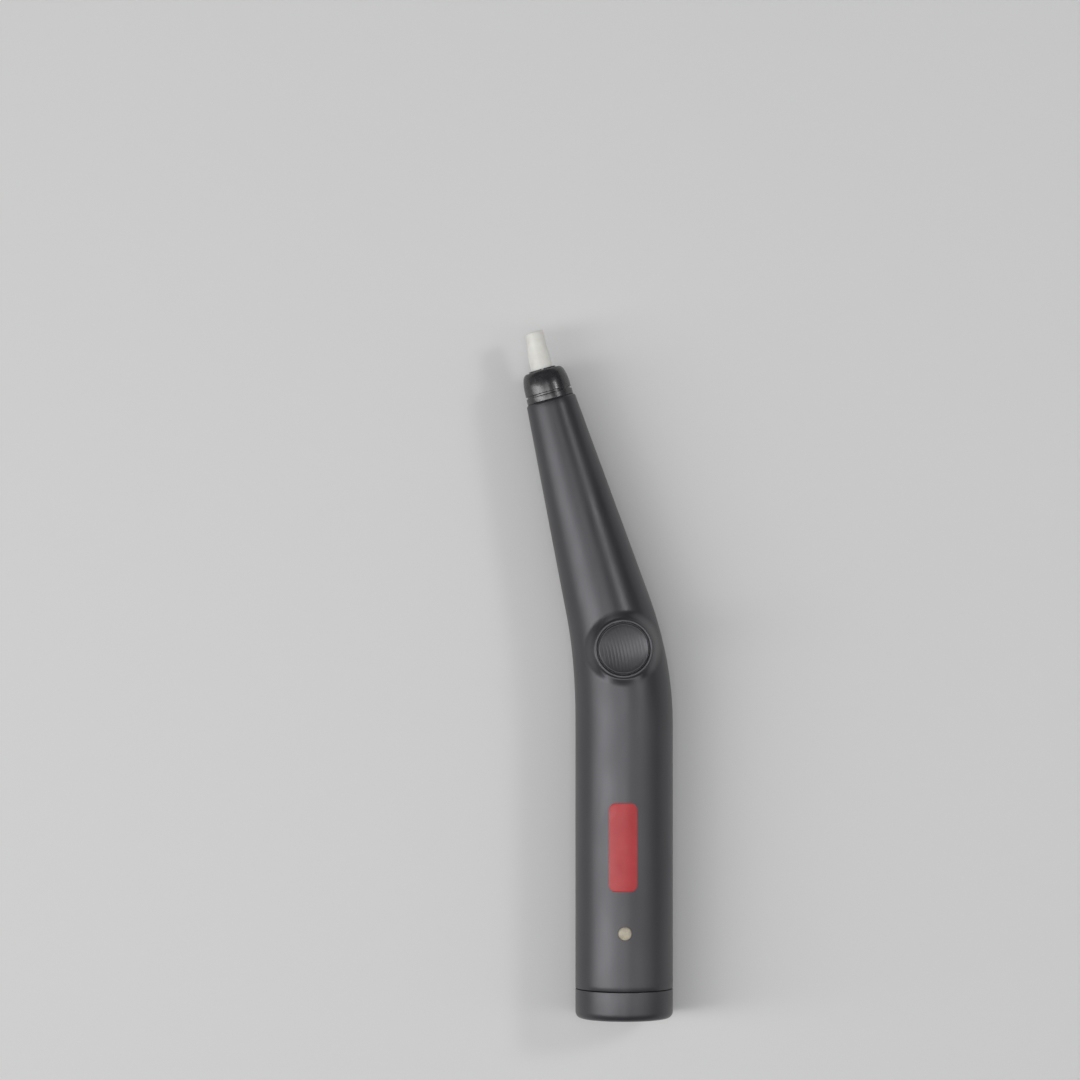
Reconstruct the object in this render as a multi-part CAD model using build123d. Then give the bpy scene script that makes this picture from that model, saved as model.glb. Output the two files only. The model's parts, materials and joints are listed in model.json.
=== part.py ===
from build123d import *
import math
import os

# A rechargeable electric eraser: a bent pen-shaped barrel with a push button at the bend.
# A motor in the nose spins a collet that grips a stick of eraser. Millimetres throughout.
#
# The barrel lies on its back while it is drawn. The handle axis is the Y axis, with the
# flat end at Y = 0. The nose leans towards -X, the button faces +Z, and the two casing
# halves meet on the plane Z = 0. At the end everything moves so that the origin is at
# the centre of the underside of the whole eraser.

# ---- fits and gaps ----
touch_gap = 0.05
running_gap = 0.04
slide_gap = 0.02
free_gap = 0.35
seam_gap = 0.15

# ---- barrel ----
handle_radius = 11.2
wall = 1.6
corner_from_end = 81.2
nose_tilt = 15.5
bend_radius = 100.0
bend_sections = 9
seam_from_corner = 63.2
nose_back_radius = 9.8
shoulder_step = 0.35
shoulder_round = 0.5

# ---- eraser refill, collet and spindle ----
refill_radius = 2.5
refill_length = 25.0
refill_edge = 0.4
refill_reach = 9.0
collet_wall = 0.63
collet_length = 23.2
collet_reach = 0.3
collet_nose_length = 5.5
collet_collar_width = 1.0
collet_collar_height = 0.2
collet_slot_width = 0.5
collet_slot_depth = 8.0
collet_slot_count = 4
drive_length = 2.2
drive_flats = 3.6
spindle_wall = 0.57
spindle_floor = 1.6
spindle_shaft_radius = 1.5
spindle_shaft_length = 10.0

# ---- nose ring ----
ring_length = 7.0
ring_wall = 0.68
ring_lip_length = 1.4
ring_groove_width = 0.45
ring_groove_depth = 0.35
ring_straight_length = 4.2
ring_top_radius = 4.15
ring_taper_inset = 0.55
ring_edge_length = 0.6
spigot_length = 4.0
spigot_wall = 0.6

# ---- bushes, washer, clip and coupling ----
front_bush_from_seam = 8.0
front_bush_length = 3.5
front_bush_wall = 0.76
stop_rib = 0.8
motor_rib_width = 1.6
motor_rib_inset = 3.2
washer_radius = 3.2
washer_thickness = 0.5
rear_bush_radius = 3.6
rear_bush_length = 4.7
rear_bush_flange_radius = 4.4
rear_bush_flange = 0.9
clip_radius = 2.6
clip_thickness = 0.5
clip_groove_depth = 0.4
clip_mouth = 1.9
coupling_radius = 2.7
coupling_length = 8.0
coupling_grip = 3.4

# ---- motor ----
motor_radius = 6.0
motor_across_flats = 10.0
motor_length = 15.0
motor_can_wall = 0.5
motor_boss_radius = 2.2
motor_boss_length = 0.9
motor_shaft_radius = 0.75
motor_shaft_reach = 5.2
magnet_thickness = 1.15
magnet_length = 10.0
magnet_half_angle = 48.0
armature_radius = 4.0
armature_length = 8.0
armature_core_radius = 1.7
pole_count = 3
pole_stem_width = 1.4
pole_shoe_thickness = 0.8
pole_slot_width = 1.5
coil_thickness = 0.8
commutator_radius = 1.5
commutator_length = 2.0
brush_thickness = 0.3
brush_width = 1.4
end_bell_length = 1.6
end_bell_plug = 0.5
terminal_offset = 3.6
terminal_width = 1.6
terminal_thickness = 0.4
terminal_reach = 2.4

# ---- end cap ----
cap_length = 6.8
cap_wall = 1.8
cap_edge_round = 1.4
cap_spigot_length = 3.5
cap_spigot_wall = 1.0
port_gap = 0.3

# ---- battery ----
battery_radius = 7.0
battery_wrap = 0.12
battery_length = 50.0
battery_nub_radius = 2.75
battery_nub_height = 1.0
battery_from_end = 18.2
battery_floor_gap = 0.28
tab_thickness = 0.15
tab_width = 4.0
foam_thickness = 0.7
foam_width = 6.0
foam_length = 25.0
cradle_ribs = 3
cradle_rib = 1.4
cradle_gap = 0.1

# ---- circuit board and what it carries ----
board_thickness = 1.0
board_past_button = 5.4
board_edge_gap = 0.4
usb_width = 7.6
usb_height = 2.7
usb_depth = 5.6
usb_wall = 0.3
usb_corner = 0.6
usb_recess = 0.9
usb_tongue_thickness = 0.6
usb_tongue_width = 5.0
usb_tongue_length = 3.6
usb_back = 1.2
usb_contact_count = 5
usb_contact_pitch = 0.65
usb_contact_width = 0.3
usb_contact_thickness = 0.12
led_from_end = 20.2
led_size = 1.6
led_height = 0.7
pipe_radius = 1.5
pipe_flange_radius = 2.2
pipe_flange = 0.8
pipe_dome = 0.15
charge_chip_size = (3.9, 4.9, 1.4)
charge_chip_from_end = 31.0
transistor_size = (1.6, 2.9, 1.0)
transistor_from_end = 60.0
small_part_size = (1.6, 0.8, 0.6)
small_part_count = 6
small_part_pitch = 2.6
small_part_offset = 3.2
small_part_from_end = 38.0

# ---- push button and its switch ----
button_past_corner = 3.9
button_offset = -0.3
button_radius = 5.75
button_travel = 0.5
button_top_wall = 1.2
button_skirt = 1.15
button_edge_round = 0.5
button_flange = 0.6
button_flange_step = 0.85
button_stem_radius = 1.5
button_rise = 0.8
button_rib_pitch = 0.7
button_rib_width = 0.3
button_rib_depth = 0.2
button_rib_margin = 0.9
button_hole_gap = 0.25
pad_drop = 1.0
pad_thickness = 1.5
pad_flat = 0.7
rim_width = 0.8
rim_height = 0.3
turret_wall = 1.4
turret_height = 6.0
scoop_height = 1.4
scoop_spread = 2.1
turret_spread = 1.1
switch_size = 4.5
switch_height = 1.6
switch_floor = 0.3
switch_wall = 0.5
plunger_radius = 1.2
plunger_foot_radius = 1.6
plunger_foot = 0.25
dome_radius = 1.5
dome_rise = 0.55
dome_thickness = 0.08
dome_steps = 6

# ---- casing screws ----
screw_radius = 1.0
screw_length = 8.0
screw_head_radius = 1.9
screw_head_height = 1.3
screw_slot_length = 2.66
screw_slot_width = 0.45
screw_slot_depth = 0.6
screw_seat_height = -6.0
rear_screw_from_end = 13.6
front_screw_past_battery = 6.4
boss_wall = 1.1
counterbore_wall = 0.8
boss_joint_height = -2.0
pilot_extra = 1.0

# ---- casing lip, badge and wires ----
lip_thickness = 0.65
lip_rise = 1.2
lip_root = 2.5
lip_from_end = 24.0
lip_length = 40.0
badge_length = 20.2
badge_width = 6.5
badge_thickness = 0.1
badge_from_end = 39.8
badge_offset = -0.4
badge_corner = 1.6
wire_radius = 0.5
wire_bend = 1.3
wire_from_button = 5.4
wire_offset = 2.6
wire_lead = 2.2

# ---- sizes that follow from the ones above ----
cavity_radius = handle_radius - wall
tilt = math.radians(nose_tilt)
bend_tangent = bend_radius * math.tan(tilt / 2)
bend_length = bend_radius * tilt
bend_start = corner_from_end - bend_tangent
cone_length = seam_from_corner - bend_tangent
nose_direction = (-math.sin(tilt), math.cos(tilt), 0)
seam_centre = (
    nose_direction[0] * seam_from_corner,
    corner_from_end + nose_direction[1] * seam_from_corner,
    0,
)

collet_bore = refill_radius + slide_gap
collet_radius = collet_bore + collet_wall
collet_tip = ring_length + collet_reach
collet_back = collet_tip - collet_length
collar_radius = collet_radius + collet_collar_height
collar_back = collet_tip - collet_nose_length - collet_collar_width
drive_front = collet_back + drive_length
socket_radius = collet_radius + slide_gap
spindle_radius = socket_radius + spindle_wall
spindle_front = collar_back - touch_gap
socket_floor = collet_back - touch_gap
spindle_shoulder = socket_floor - spindle_floor
spindle_back = spindle_shoulder - spindle_shaft_length
refill_tip = ring_length + refill_reach
refill_back = refill_tip - refill_length

spigot_bore = spindle_radius + free_gap
spigot_radius = spigot_bore + spigot_wall
ring_bore = spigot_radius + slide_gap
ring_radius = ring_bore + ring_wall
ring_mouth = collar_radius + free_gap / 2
nose_front_radius = ring_radius + shoulder_step
cone_slope = (nose_back_radius - nose_front_radius) / cone_length

front_bush_front = -front_bush_from_seam
front_bush_back = front_bush_front - front_bush_length
front_bush_radius = spindle_radius + running_gap + front_bush_wall
washer_front = spindle_shoulder - touch_gap
washer_back = washer_front - washer_thickness
rear_bush_front = washer_back - touch_gap
rear_bush_back = rear_bush_front - rear_bush_length
clip_front = rear_bush_back - touch_gap
clip_back = clip_front - clip_thickness
clip_bore = spindle_shaft_radius - clip_groove_depth + slide_gap
coupling_front = spindle_back + coupling_grip
coupling_back = coupling_front - coupling_length
motor_shaft_front = coupling_back + coupling_grip
motor_front = motor_shaft_front - motor_shaft_reach
motor_back = motor_front - motor_length
motor_inner_radius = motor_radius - motor_can_wall
motor_inner_flats = motor_across_flats - 2 * motor_can_wall
magnet_inner_radius = motor_inner_radius - magnet_thickness
armature_middle = (motor_front + motor_back) / 2
armature_front = armature_middle + armature_length / 2
armature_back = armature_middle - armature_length / 2
commutator_front = armature_back - coil_thickness - touch_gap
commutator_back = commutator_front - commutator_length
terminal_back = motor_back - end_bell_length - terminal_reach

battery_outer = battery_radius + battery_wrap
battery_height = battery_outer + battery_floor_gap - cavity_radius
battery_top = battery_height + battery_outer
battery_shoulder = battery_from_end + battery_length - battery_nub_height
battery_front = battery_from_end + battery_length
foam_top = battery_top + foam_thickness
board_bottom = foam_top + touch_gap
board_top = board_bottom + board_thickness
button_y = corner_from_end + button_past_corner
board_front = button_y + board_past_button
cap_spigot_radius = cavity_radius - slide_gap
cap_spigot_bore = cap_spigot_radius - cap_spigot_wall
board_half_width = math.sqrt(cap_spigot_bore**2 - board_top**2) - board_edge_gap
usb_middle = board_bottom - usb_height / 2

pad_top = handle_radius - pad_drop
pad_bottom = pad_top - pad_thickness
button_hole = button_radius + button_hole_gap
rim_radius = button_hole + rim_width
pad_radius = rim_radius + pad_flat
flange_radius = button_radius + button_flange_step
pocket_radius = flange_radius + free_gap
turret_radius = pocket_radius + turret_wall
button_top = pad_top + button_rise
flange_top = pad_bottom - touch_gap
switch_top = board_top + switch_height
plunger_top = switch_top + button_travel + 2 * touch_gap
plunger_foot_top = switch_top - switch_floor - touch_gap
front_screw_y = battery_front + front_screw_past_battery
screw_places = ((0, rear_screw_from_end), (0, front_screw_y))
boss_radius = screw_radius + slide_gap + boss_wall
counterbore_radius = screw_head_radius + slide_gap
rear_boss_radius = counterbore_radius + counterbore_wall
pipe_bottom = board_top + led_height + free_gap


def rod(radius, low, high):
    """A round bar along local Z."""
    height = high - low
    return Pos(0, 0, low + height / 2) * Cylinder(radius, height)


def tube(outer, inner, low, high):
    """A round tube along local Z."""
    return rod(outer, low, high) - rod(inner, low, high)


def taper(low_radius, high_radius, low, high):
    """A cone frustum along local Z."""
    height = high - low
    return Pos(0, 0, low + height / 2) * Cone(low_radius, high_radius, height)


def block(low, high):
    """A box between two opposite corners."""
    size = [top - bottom for bottom, top in zip(low, high)]
    middle = [(top + bottom) / 2 for bottom, top in zip(low, high)]
    return Pos(*middle) * Box(*size)


def ring_of(outline):
    """A solid of revolution about local Z from (radius, height) points."""
    return revolve(make_face(Plane.XZ * Polyline(*outline, close=True)), Axis.Z)


def turned_plane(centre, turn):
    """A plane across the barrel's spine where it has turned from the handle axis."""
    across = (-math.cos(turn), -math.sin(turn), 0)
    along = (-math.sin(turn), math.cos(turn), 0)
    return Plane(origin=centre, x_dir=across, z_dir=along)


def on_handle(shape):
    """Place a shape whose local Z is the handle axis, measured from the flat end."""
    return turned_plane((0, 0, 0), 0).location * shape


def on_nose(shape):
    """Place a shape whose local Z is the nose axis, measured forward from the seam."""
    return turned_plane(seam_centre, tilt).location * shape


def nose_point(across, height, along):
    """A point in the casing frame from nose coordinates."""
    spot = turned_plane(seam_centre, tilt).from_local_coords(Vector(across, height, along))
    return (spot.X, spot.Y, spot.Z)


def nose_radius(along):
    """Outside radius of the straight nose cone at a place along its axis."""
    return nose_front_radius - cone_slope * along


def nose_slice(back, front, inset):
    """A slice of the nose cone, made smaller all round by an inset."""
    return taper(nose_radius(back) - inset, nose_radius(front) - inset, back, front)


def bend_section(share, inset):
    """The barrel's round section at a share of the way round the bend from the handle."""
    turn = share * tilt
    centre = (
        -bend_radius * (1 - math.cos(turn)),
        bend_start + bend_radius * math.sin(turn),
        0,
    )
    ease = share * share * (3 - 2 * share)
    lean = share * share * (share - 1)
    radius = handle_radius + (nose_back_radius - handle_radius) * ease
    radius -= cone_slope * bend_length * lean
    return turned_plane(centre, turn) * Circle(radius - inset)


def barrel(inset, back, nose):
    """The barrel's round form from a place on the handle, ending in the given nose."""
    sections = [bend_section(step / (bend_sections - 1), inset) for step in range(bend_sections)]
    handle = on_handle(rod(handle_radius - inset, back, bend_start))
    return handle + loft(sections) + on_nose(nose)


def barrel_inside(inset, back, front):
    """The barrel's form made smaller all round, up to a place on the nose."""
    return barrel(inset, back, nose_slice(-cone_length, front, inset))


def barrel_outside():
    """The outside of the casing, with its shoulder rounded where it meets the nose ring."""
    nose = nose_slice(-cone_length, 0, 0)
    nose = fillet(nose.edges().sort_by(Axis.Z)[-1], shoulder_round)
    return barrel(0, cap_length + seam_gap, nose)


def at_button(shape):
    """Place a shape whose local Z rises through the middle of the button."""
    return Pos(button_offset, button_y, 0) * shape


def casing_cavity():
    """The hollow inside both casing halves."""
    hollow = barrel_inside(wall, cap_length, -wall)
    hollow += on_nose(rod(front_bush_radius + slide_gap, front_bush_back, front_bush_front))
    return hollow + on_nose(rod(spigot_bore, -2 * wall, spigot_length))


def nose_ribs():
    """Rings inside the nose that hold the two bushes and the motor."""
    into_wall = wall / 2
    bush_seat = nose_slice(front_bush_back - stop_rib, front_bush_front + stop_rib, into_wall)
    bush_seat -= rod(spigot_bore, front_bush_back - stop_rib, front_bush_front + stop_rib)
    bush_seat -= rod(front_bush_radius + slide_gap, front_bush_back, front_bush_front)
    rear_seat = nose_slice(rear_bush_back, rear_bush_front + stop_rib, into_wall)
    rear_seat -= rod(rear_bush_radius + slide_gap, rear_bush_back, rear_bush_front)
    flange_back = rear_bush_front - rear_bush_flange
    rear_seat -= rod(rear_bush_flange_radius + slide_gap, flange_back, rear_bush_front)
    rear_seat -= rod(spigot_bore, rear_bush_front, rear_bush_front + stop_rib)
    motor_stop = nose_slice(motor_front, motor_front + stop_rib, into_wall)
    motor_stop -= rod(coupling_radius + 2 * free_gap, motor_front, motor_front + stop_rib)
    return on_nose(bush_seat) + on_nose(rear_seat) + on_nose(motor_stop) + on_nose(motor_ribs())


def motor_ribs():
    """Two rings shaped to the motor's flat-sided can, and one behind it."""
    into_wall = wall / 2
    rings = Part()
    front_rib = motor_front - motor_rib_inset - motor_rib_width
    for back in (motor_back + motor_rib_inset, front_rib):
        rings += nose_slice(back, back + motor_rib_width, into_wall)
    rings -= can_outline(motor_radius + touch_gap, motor_across_flats + 2 * touch_gap, 0)
    behind = nose_slice(motor_back - stop_rib, motor_back, into_wall)
    behind -= rod(motor_inner_radius + touch_gap, motor_back - stop_rib, motor_back)
    return rings + behind


def can_outline(radius, flats, inset):
    """The motor's round body with two flats, from front to back less an inset."""
    body = rod(radius, motor_back, motor_front - inset)
    return body & block((-radius, -flats / 2, motor_back), (radius, flats / 2, motor_front))


def turret_form():
    """The raised collar under the button, before it is hollowed."""
    low = pad_top - turret_height
    return at_button(taper(turret_radius + turret_spread, pad_radius, low, pad_top))


def scoop_form():
    """The shallow dish cut round the button where the barrel stands higher than the pad."""
    high = pad_top + scoop_height
    return at_button(taper(pad_radius, pad_radius + scoop_spread, pad_top, high))


def upper_half():
    """Everything above the plane where the casing halves meet."""
    reach = seam_from_corner + corner_from_end
    return block((-reach, -reach, 0), (reach, 2 * reach, reach))


def lower_half():
    """Everything below the plane where the casing halves meet."""
    reach = seam_from_corner + corner_from_end
    return block((-reach, -reach, -reach), (reach, 2 * reach, 0))


def front_bosses():
    """Posts that the casing screws bite into, reaching from the front wall."""
    posts = Part()
    for x, y in screw_places:
        posts += Pos(x, y, 0) * rod(boss_radius, boss_joint_height, cavity_radius + wall / 2)
    return posts


def front_pilots():
    """The blind holes in the front posts."""
    pilots = Part()
    top = screw_seat_height + screw_length + pilot_extra
    for x, y in screw_places:
        pilots += Pos(x, y, 0) * rod(screw_radius + slide_gap, boss_joint_height, top)
    return pilots


def front_shell():
    """The front casing half: button pad, light window, screw posts and bearing ribs."""
    shell = barrel_outside() - scoop_form()
    shell += turret_form()
    shell += at_button(rod(rim_radius, pad_bottom, pad_top + rim_height))
    shell += on_nose(rod(spigot_radius, -wall, spigot_length))
    shell -= casing_cavity()
    shell -= at_button(rod(pocket_radius, 0, pad_bottom))
    shell += nose_ribs()
    shell = shell & upper_half()
    shell += front_bosses()
    shell -= front_pilots()
    shell -= at_button(rod(button_hole, pad_bottom, pad_top + handle_radius))
    window = Pos(0, led_from_end, 0) * rod(pipe_radius + slide_gap, 0, 2 * handle_radius)
    flange_room = Pos(0, led_from_end, 0) * rod(pipe_flange_radius, 0, cavity_radius - pipe_flange)
    return shell - window - flange_room


def rear_bosses():
    """Hollow posts under the screw heads, reaching from the rear wall."""
    posts = Part()
    for x, y in screw_places:
        low = -cavity_radius - wall / 2
        posts += Pos(x, y, 0) * rod(rear_boss_radius, low, boss_joint_height)
    return posts


def rear_screw_holes():
    """Clearance holes and recesses for the casing screws."""
    holes = Part()
    for x, y in screw_places:
        holes += Pos(x, y, 0) * rod(screw_radius + touch_gap, screw_seat_height, 0)
        holes += Pos(x, y, 0) * rod(counterbore_radius, -2 * handle_radius, screw_seat_height)
    return holes


def battery_cradle():
    """Ribs across the rear half, cut to the round of the battery."""
    ribs = Part()
    spacing = (battery_shoulder - battery_from_end) / (cradle_ribs + 1)
    for number in range(cradle_ribs):
        back = battery_from_end + (number + 1) * spacing - cradle_rib / 2
        ribs += on_handle(rod(handle_radius - wall / 2, back, back + cradle_rib))
    hole = rod(battery_outer + cradle_gap, battery_from_end, battery_front)
    return (ribs - on_handle(Pos(0, battery_height, 0) * hole)) & lower_half()


def casing_lip():
    """Thin strips on the rear half that slip inside the front half and line the two up."""
    front = lip_from_end + lip_length
    outer = cavity_radius - touch_gap
    strip = on_handle(tube(outer, outer - lip_thickness, lip_from_end, front))
    strip = strip & block(
        (-handle_radius, 0, -lip_root), (handle_radius, front, lip_rise)
    )
    root = on_handle(tube(handle_radius - wall / 2, outer - lip_thickness, lip_from_end, front))
    return strip + (root & block((-handle_radius, 0, -lip_root), (handle_radius, front, 0)))


def rear_shell():
    """The rear casing half: battery cradle, screw recesses and bearing ribs."""
    shell = barrel_outside() + on_nose(rod(spigot_radius, -wall, spigot_length))
    shell -= casing_cavity()
    shell += nose_ribs()
    shell = shell & lower_half()
    shell += battery_cradle() + casing_lip() + rear_bosses()
    return shell - rear_screw_holes()


def end_cap():
    """The cup that closes the handle and carries the charging port opening."""
    cup = rod(handle_radius, 0, cap_length)
    cup = fillet(cup.edges().sort_by(Axis.Z)[0], cap_edge_round)
    cup -= rod(cavity_radius, cap_wall, cap_length)
    spigot_front = cap_length + cap_spigot_length
    root = cap_length - cap_spigot_length / 2
    cup += tube(cap_spigot_radius, cap_spigot_bore, root, spigot_front)
    cup += tube(cavity_radius + wall / 2, cap_spigot_bore, root, cap_length)
    port = RectangleRounded(
        usb_width + 2 * port_gap, usb_height + 2 * port_gap, usb_corner + port_gap
    )
    cup -= Pos(0, usb_middle, 0) * extrude(port, cap_wall)
    return on_handle(cup)


def nose_ring():
    """The collar pushed over the casing's spigot, with a grip lip and a groove."""
    lip_top = ring_lip_length
    groove_top = lip_top + ring_groove_width
    top_shoulder = ring_length - ring_edge_length
    outline = (
        (ring_bore, 0),
        (ring_radius, 0),
        (ring_radius, lip_top),
        (ring_radius - ring_groove_depth, lip_top),
        (ring_radius - ring_groove_depth, groove_top),
        (ring_radius, groove_top),
        (ring_radius, ring_straight_length),
        (ring_radius - ring_taper_inset, top_shoulder),
        (ring_top_radius, ring_length),
        (ring_mouth, ring_length),
        (ring_mouth, spigot_length + touch_gap),
        (ring_bore, spigot_length + touch_gap),
    )
    return on_nose(ring_of(outline))


def hexagon(flats, low, high):
    """A six-sided bar along local Z."""
    shape = extrude(RegularPolygon(flats / 2, 6, major_radius=False), high - low)
    return Pos(0, 0, low) * shape


def collet():
    """The sleeve that grips the refill, split into fingers, with a hexagon drive end."""
    sleeve = rod(collet_radius, drive_front, collet_tip)
    sleeve += rod(collar_radius, collar_back, collar_back + collet_collar_width)
    sleeve += hexagon(drive_flats, collet_back, drive_front)
    sleeve -= rod(collet_bore, refill_back - touch_gap, collet_tip)
    slots = Part()
    for number in range(collet_slot_count // 2):
        slot = block(
            (-collar_radius, -collet_slot_width / 2, collet_tip - collet_slot_depth),
            (collar_radius, collet_slot_width / 2, collet_tip),
        )
        slots += Rot(0, 0, number * 360 / collet_slot_count) * slot
    return on_nose(sleeve - slots)


def eraser_refill():
    """The stick of eraser held in the collet."""
    stick = rod(refill_radius, refill_back, refill_tip)
    return on_nose(fillet(stick.edges().sort_by(Axis.Z)[-1], refill_edge))


def spindle():
    """The turning socket for the collet, with its rear shaft and clip groove."""
    body = rod(spindle_radius, spindle_shoulder, spindle_front)
    body -= rod(socket_radius, drive_front - touch_gap, spindle_front)
    body -= hexagon(drive_flats + 2 * touch_gap, socket_floor, drive_front)
    body += rod(spindle_shaft_radius, spindle_back, spindle_shoulder)
    groove_radius = spindle_shaft_radius - clip_groove_depth
    room = slide_gap
    body -= tube(spindle_shaft_radius + room, groove_radius, clip_back - room, clip_front + room)
    return on_nose(body)


def front_bush():
    """The plain bearing round the spindle's socket."""
    bore = spindle_radius + running_gap
    return on_nose(tube(front_bush_radius, bore, front_bush_back, front_bush_front))


def rear_bush():
    """The flanged plain bearing round the spindle's shaft."""
    bush = rod(rear_bush_radius, rear_bush_back, rear_bush_front)
    bush += rod(rear_bush_flange_radius, rear_bush_front - rear_bush_flange, rear_bush_front)
    return on_nose(bush - rod(spindle_shaft_radius + running_gap, rear_bush_back, rear_bush_front))


def thrust_washer():
    """The washer between the spindle's shoulder and the rear bush."""
    bore = spindle_shaft_radius + slide_gap
    return on_nose(tube(washer_radius, bore, washer_back, washer_front))


def spindle_clip():
    """The open clip that keeps the spindle from sliding forward."""
    clip = tube(clip_radius, clip_bore, clip_back, clip_front)
    mouth = block((0, -clip_mouth / 2, clip_back), (clip_radius, clip_mouth / 2, clip_front))
    return on_nose(clip - mouth)


def coupling_sleeve():
    """The sleeve that joins the motor shaft to the spindle shaft."""
    sleeve = rod(coupling_radius, coupling_back, coupling_front)
    sleeve -= rod(spindle_shaft_radius, spindle_back, coupling_front)
    return on_nose(sleeve - rod(motor_shaft_radius, coupling_back, spindle_back))


def motor_can():
    """The motor's drawn steel case with its front boss."""
    can = can_outline(motor_radius, motor_across_flats, 0)
    can -= can_outline(motor_inner_radius, motor_inner_flats, motor_can_wall)
    can += rod(motor_boss_radius, motor_front, motor_front + motor_boss_length)
    bore = motor_shaft_radius + running_gap
    return on_nose(can - rod(bore, motor_back, motor_front + motor_boss_length))


def motor_magnets():
    """Two curved magnets against the round sides of the case."""
    back = armature_middle - magnet_length / 2
    front = armature_middle + magnet_length / 2
    arcs = tube(motor_inner_radius, magnet_inner_radius, back, front)
    half_height = motor_inner_radius * math.sin(math.radians(magnet_half_angle))
    keep = block(
        (-motor_radius, -half_height, back), (motor_radius, half_height, front)
    )
    return on_nose(arcs & keep)


def motor_armature():
    """The three-pole iron core on the motor shaft."""
    core = rod(armature_core_radius, armature_back, armature_front)
    shoes = tube(
        armature_radius, armature_radius - pole_shoe_thickness, armature_back, armature_front
    )
    for number in range(pole_count):
        turn = number * 360 / pole_count
        half_stem = pole_stem_width / 2
        stem = block(
            (0, -half_stem, armature_back),
            (armature_radius - pole_shoe_thickness / 2, half_stem, armature_front),
        )
        gap = block(
            (0, -pole_slot_width / 2, armature_back),
            (armature_radius + pole_shoe_thickness, pole_slot_width / 2, armature_front),
        )
        core += Rot(0, 0, turn) * stem
        shoes -= Rot(0, 0, turn + 180 / pole_count) * gap
    return on_nose(core + shoes - rod(motor_shaft_radius, armature_back, armature_front))


def motor_windings():
    """A copper coil round each pole of the armature."""
    coils = Part()
    inner = armature_core_radius + touch_gap
    outer = armature_radius - pole_shoe_thickness - touch_gap
    half_stem = pole_stem_width / 2
    half_coil = half_stem + coil_thickness
    for number in range(pole_count):
        coil = block(
            (inner, -half_coil, armature_back - coil_thickness),
            (outer, half_coil, armature_front + coil_thickness),
        )
        coil -= block(
            (inner, -half_stem, armature_back), (outer, half_stem, armature_front)
        )
        coils += Rot(0, 0, number * 360 / pole_count) * coil
    room = tube(
        outer, inner, armature_back - coil_thickness, armature_front + coil_thickness
    )
    return on_nose(coils & room)


def motor_commutator():
    """The copper drum that the brushes rub on."""
    return on_nose(
        tube(commutator_radius, motor_shaft_radius, commutator_back, commutator_front)
    )


def motor_brushes():
    """Two leaf brushes on either side of the commutator."""
    leaves = Part()
    for side in (-1, 1):
        inner = commutator_radius + running_gap
        leaf = block(
            (inner, -brush_width / 2, motor_back + end_bell_plug),
            (inner + brush_thickness, brush_width / 2, commutator_front),
        )
        leaves += Rot(0, 0, 90 - side * 90) * leaf
    return on_nose(leaves)


def terminal_strip(side):
    """One motor terminal, from inside the case out through the end bell."""
    half_width = terminal_width / 2
    start = side * terminal_offset - terminal_thickness / 2
    return block(
        (start, -half_width, terminal_back),
        (start + terminal_thickness, half_width, motor_back + end_bell_plug),
    )


def motor_terminals():
    """The two solder terminals."""
    return on_nose(terminal_strip(-1) + terminal_strip(1))


def motor_end_bell():
    """The plastic cover that closes the back of the motor."""
    low = motor_back - end_bell_length
    high = motor_back + end_bell_plug
    cover = rod(motor_inner_radius, low, high)
    half_flats = motor_inner_flats / 2
    cover = cover & block(
        (-motor_radius, -half_flats, low), (motor_radius, half_flats, high)
    )
    cover -= rod(motor_shaft_radius + running_gap, motor_back - end_bell_length / 2, high)
    return on_nose(cover - terminal_strip(-1) - terminal_strip(1))


def motor_shaft():
    """The steel shaft from the coupling to the end bell."""
    return on_nose(
        rod(motor_shaft_radius, motor_back - end_bell_length / 4, motor_shaft_front)
    )


def battery_cell():
    """The round lithium cell with its raised positive end."""
    cell = rod(battery_radius, battery_from_end, battery_shoulder)
    cell += rod(battery_nub_radius, battery_shoulder, battery_front)
    return on_handle(Pos(0, battery_height, 0) * cell)


def battery_sleeve():
    """The thin sleeve shrunk round the cell."""
    sleeve = tube(battery_outer, battery_radius, battery_from_end, battery_shoulder)
    return on_handle(Pos(0, battery_height, 0) * sleeve)


def battery_tab(face):
    """A nickel strip welded to one end of the cell and soldered under the board."""
    low = battery_height - battery_nub_radius
    return block(
        (-tab_width / 2, face, low), (tab_width / 2, face + tab_thickness, board_bottom)
    )


def battery_foam():
    """The foam strip between the cell and the circuit board."""
    middle = (battery_from_end + battery_shoulder) / 2
    return block(
        (-foam_width / 2, middle - foam_length / 2, battery_top + touch_gap),
        (foam_width / 2, middle + foam_length / 2, foam_top),
    )


def main_board():
    """The circuit board, trimmed to follow the inside of the casing at the bend."""
    slab = block(
        (-board_half_width, cap_wall + touch_gap, board_bottom),
        (board_half_width, board_front, board_top),
    )
    slab = slab & barrel_inside(wall + board_edge_gap, cap_wall, -cone_length / 2)
    for x, y in screw_places:
        slab -= Pos(x, y, 0) * rod(boss_radius + free_gap, board_bottom, board_top)
    return slab


def on_board(size, x, y):
    """A small part standing on top of the board."""
    width, length, height = size
    return block(
        (x - width / 2, y - length / 2, board_top),
        (x + width / 2, y + length / 2, board_top + height),
    )


def small_parts():
    """The row of chip resistors and capacitors along the board."""
    parts = Part()
    for number in range(small_part_count):
        side = 1 if number % 2 else -1
        y = small_part_from_end + number * small_part_pitch
        parts += on_board(small_part_size, side * small_part_offset, y)
    return parts


def status_led():
    """The light source under the light pipe."""
    return on_board((led_size, led_size, led_height), 0, led_from_end)


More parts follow.
